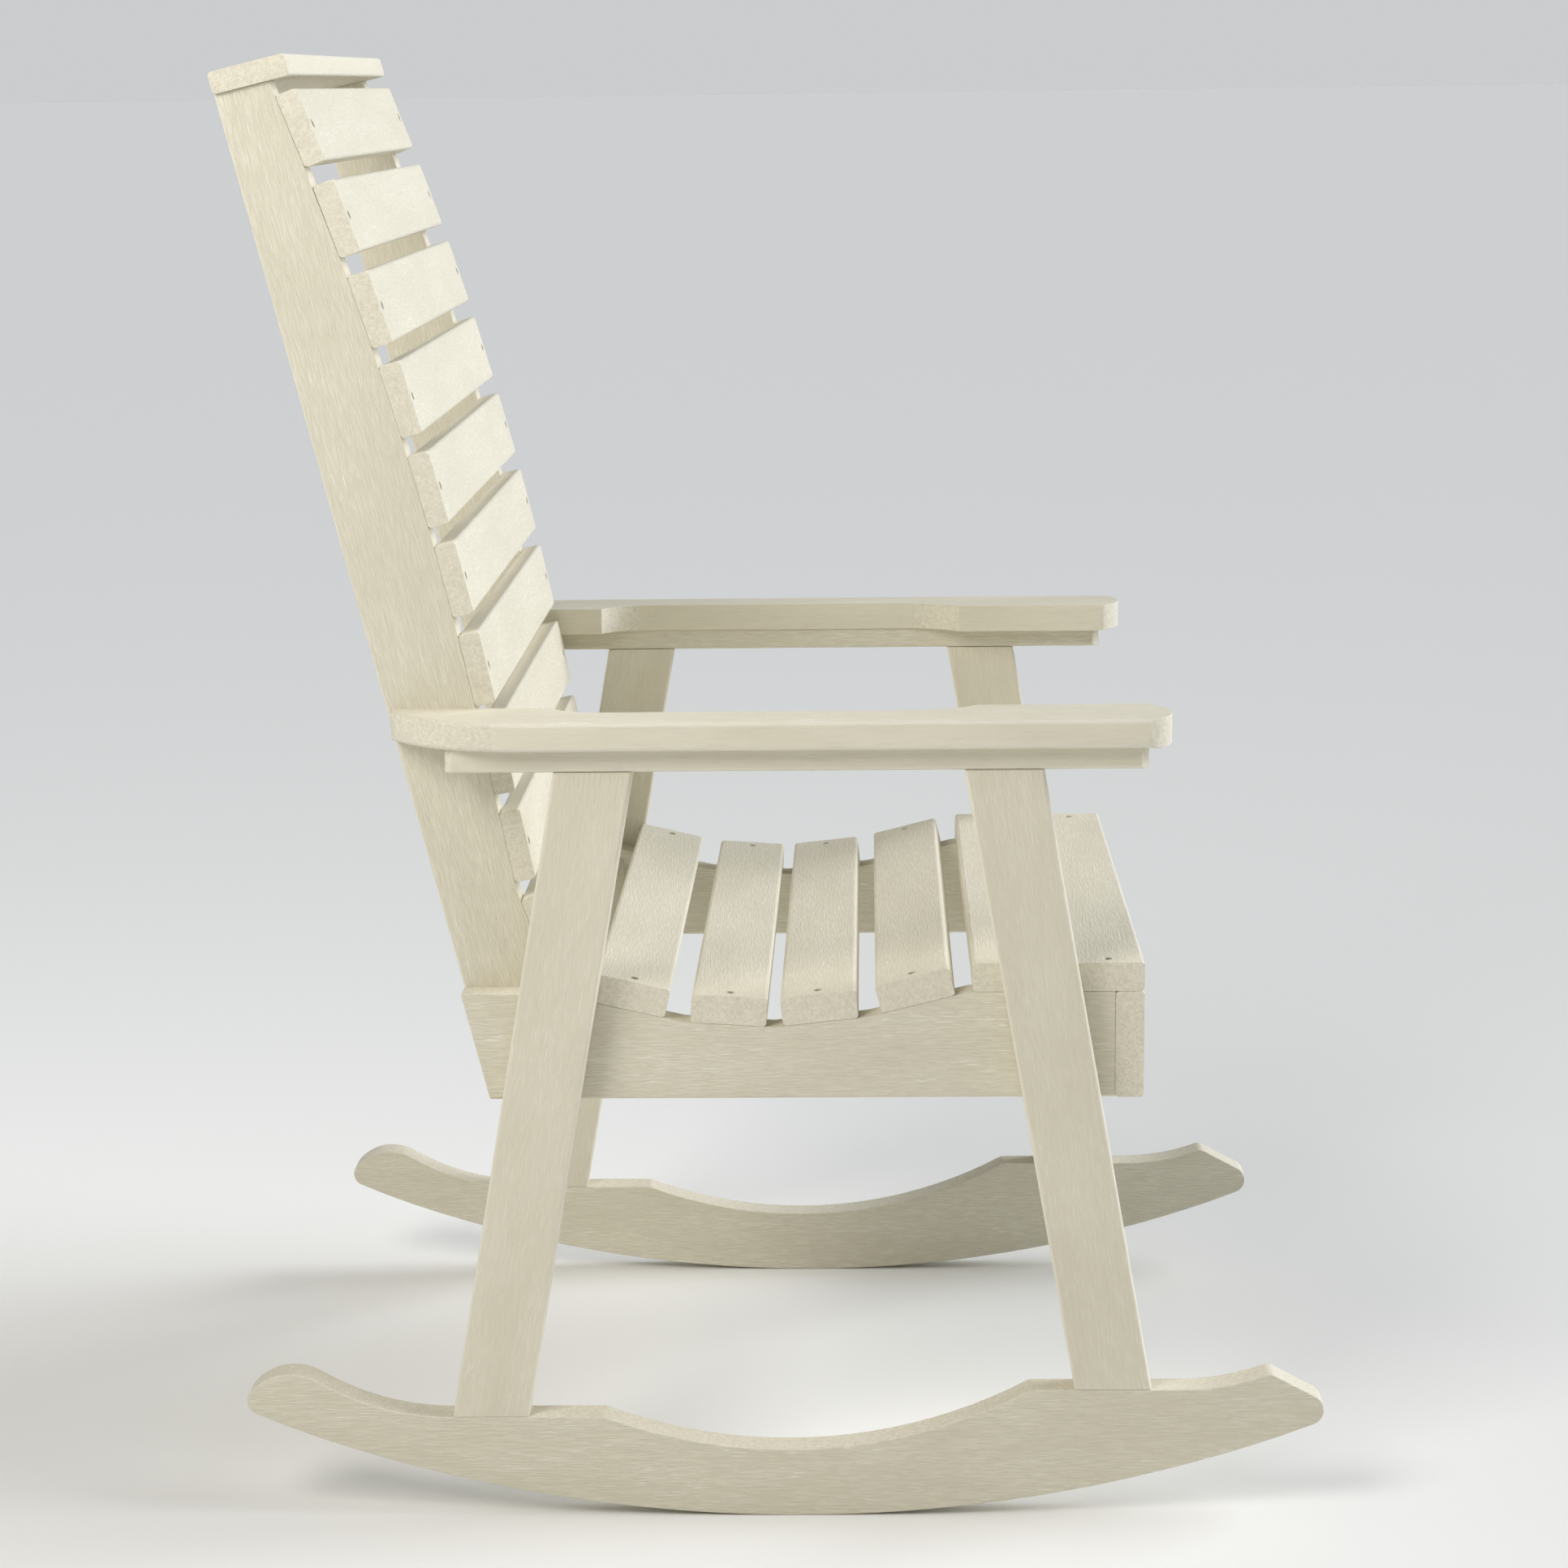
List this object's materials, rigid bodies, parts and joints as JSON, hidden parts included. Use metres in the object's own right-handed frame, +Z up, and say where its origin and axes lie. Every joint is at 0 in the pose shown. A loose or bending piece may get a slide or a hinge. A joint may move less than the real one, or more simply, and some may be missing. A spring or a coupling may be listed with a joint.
{
  "type": "rocking_chair",
  "caption": "Slatted outdoor rocking chair with a high leaning back, flat scooped armrests, a dished slat seat and curved rockers, in off-white wood-grained plastic lumber",
  "frame": {"origin": "On the floor under the middle of the chair's overall width and overall length, at the rockers' lowest line in height", "axes": "+Z up; -Y is the front, the way the sitter faces; +X is the sitter's left, so right_ nodes lie at -X"},
  "size_m": [0.624, 0.8615, 1.1548],
  "materials": {
    "poly_lumber": "embossed wood grain, satin",
    "fastener_steel": "coated stainless screws"
  },
  "bodies": {
    "root": {"apron_screws": "fastener_steel", "arm_screws": "fastener_steel", "back_slat_1": "poly_lumber", "back_slat_10": "poly_lumber", "back_slat_2": "poly_lumber", "back_slat_3": "poly_lumber", "back_slat_4": "poly_lumber", "back_slat_5": "poly_lumber", "back_slat_6": "poly_lumber", "back_slat_7": "poly_lumber", "back_slat_8": "poly_lumber", "back_slat_9": "poly_lumber", "back_slat_screws": "fastener_steel", "cap_screws": "fastener_steel", "cross_rail_screws": "fastener_steel", "front_apron": "poly_lumber", "front_leg_screws": "fastener_steel", "left_arm_rail": "poly_lumber", "left_armrest": "poly_lumber", "left_back_stile": "poly_lumber", "left_front_leg": "poly_lumber", "left_rear_leg": "poly_lumber", "left_rocker": "poly_lumber", "left_seat_rail": "poly_lumber", "leg_top_screws": "fastener_steel", "rear_cross_rail": "poly_lumber", "rear_leg_screws": "fastener_steel", "right_arm_rail": "poly_lumber", "right_armrest": "poly_lumber", "right_back_stile": "poly_lumber", "right_front_leg": "poly_lumber", "right_rear_leg": "poly_lumber", "right_rocker": "poly_lumber", "right_seat_rail": "poly_lumber", "rocker_screws": "fastener_steel", "seat_slat_1": "poly_lumber", "seat_slat_2": "poly_lumber", "seat_slat_3": "poly_lumber", "seat_slat_4": "poly_lumber", "seat_slat_5": "poly_lumber", "seat_slat_screws": "fastener_steel", "stile_arm_screws": "fastener_steel", "top_cap": "poly_lumber"}
  },
  "joints": []
}
